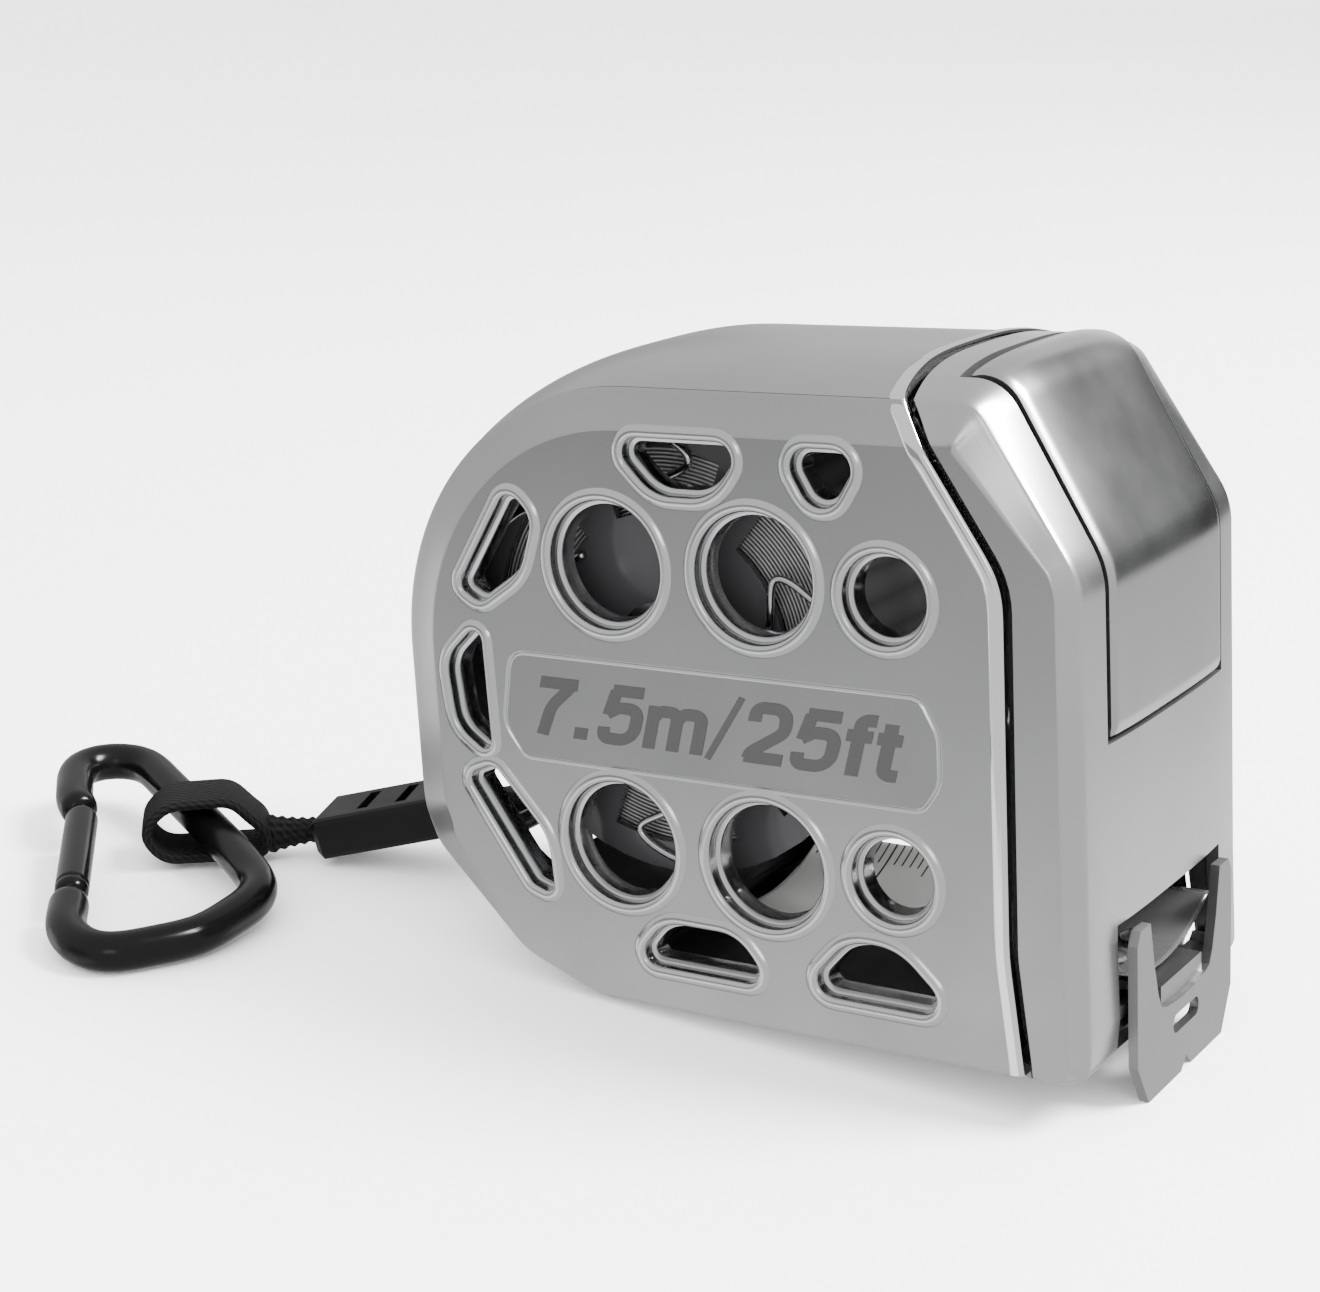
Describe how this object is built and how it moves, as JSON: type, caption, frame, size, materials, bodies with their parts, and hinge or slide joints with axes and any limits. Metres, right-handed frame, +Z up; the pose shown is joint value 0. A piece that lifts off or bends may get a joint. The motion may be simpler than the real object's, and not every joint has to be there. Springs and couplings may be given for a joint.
{
  "type": "tape measure",
  "caption": "Pocket tape measure with a vented satin metal case, large front lock button, end hook at the mouth, and a tether with a black snap hook.",
  "frame": {"origin": "bottom centre of the tape measure's own box, without the tether, as it stands on its end hook and rear heel", "axes": "+X from the rear towards the mouth and end hook, +Y towards the side with the case screws, +Z up"},
  "size_m": [0.1466, 0.0698, 0.0732],
  "materials": {
    "case_metal": "satin bright plating over die-cast shell",
    "label_metal": "fine matt plating",
    "button_metal": "satin bright plating",
    "dark_plastic": "moulded",
    "reel_plastic": "glossy moulded",
    "blade_paint": "white enamel with a printed scale",
    "spring_steel": "rolled",
    "hook_steel": "nickel plated",
    "rubber": "matt",
    "webbing": "woven nylon",
    "black_plastic": "moulded",
    "black_aluminium": "black anodised"
  },
  "bodies": {
    "case": {"cover_left": "case_metal", "cover_right": "case_metal", "label_left": "label_metal", "label_right": "label_metal", "case_band": "case_metal", "front_housing": "case_metal", "seam_liner": "dark_plastic", "reel_arbor": "spring_steel", "arbor_clip_left": "spring_steel", "arbor_clip_right": "spring_steel", "blade_guide": "dark_plastic", "mouth_bumper": "rubber", "button_pin": "spring_steel", "tether_pin": "spring_steel", "case_post_1": "dark_plastic", "case_post_2": "dark_plastic", "case_post_3": "dark_plastic", "case_screw_1": "spring_steel", "case_screw_2": "spring_steel", "case_screw_3": "spring_steel"},
    "reel": {"reel_flange_left": "reel_plastic", "reel_flange_right": "reel_plastic", "reel_hub": "reel_plastic", "blade_coil": "blade_paint", "power_spring": "spring_steel"},
    "blade": {"blade_strip": "blade_paint", "hook_rivet_left": "spring_steel", "hook_rivet_right": "spring_steel"},
    "hook": {"end_hook": "hook_steel"},
    "button": {"lock_button": "button_metal"},
    "tether": {"tether_link": "webbing", "tether_block": "black_plastic", "tether_knot": "webbing", "strap_loop": "webbing"},
    "snap": {"snap_body": "black_aluminium"},
    "gate": {"snap_gate": "black_aluminium"}
  },
  "joints": [
    {"name": "reel_spin", "type": "hinge", "parent": "case", "child": "reel", "pos_m": [-0.01155, 0, 0.03856], "axis": [0, -1, 0], "range_deg": [0, 91.6], "stiffness_Nm_per_rad": 0.004, "springref_deg": -34.38},
    {"name": "blade_slide", "type": "slide", "parent": "case", "child": "blade", "axis": [0.9968, 0, 0.0802], "range_m": [0, 0.04]},
    {"name": "hook_float", "type": "slide", "parent": "blade", "child": "hook", "axis": [0.9968, 0, 0.0802], "range_m": [0, 0.0008]},
    {"name": "lock_press", "type": "hinge", "parent": "case", "child": "button", "pos_m": [0.02408, 0, 0.0657], "axis": [0, 1, 0], "range_deg": [0, 1.3], "stiffness_Nm_per_rad": 1.2, "springref_deg": -1.15},
    {"name": "tether_swing", "type": "hinge", "parent": "case", "child": "tether", "pos_m": [-0.03261, 0, 0.01349], "axis": [0, 1, 0], "range_deg": [0, 12]},
    {"name": "snap_swing", "type": "hinge", "parent": "tether", "child": "snap", "pos_m": [-0.07946, -0.01316, 0.00487], "axis": [-0.8957, 0.4378, 0.0777], "range_deg": [-10, 10]},
    {"name": "gate_swing", "type": "hinge", "parent": "snap", "child": "gate", "pos_m": [-0.07655, -0.03784, 0.00343], "axis": [-0.0617, 0.0508, -0.9968], "range_deg": [0, 13], "stiffness_Nm_per_rad": 0.02, "springref_deg": -17.19}
  ],
  "couplings": [
    {"joint": "blade_slide", "follows": "reel_spin", "m_per_rad": 0.025}
  ]
}
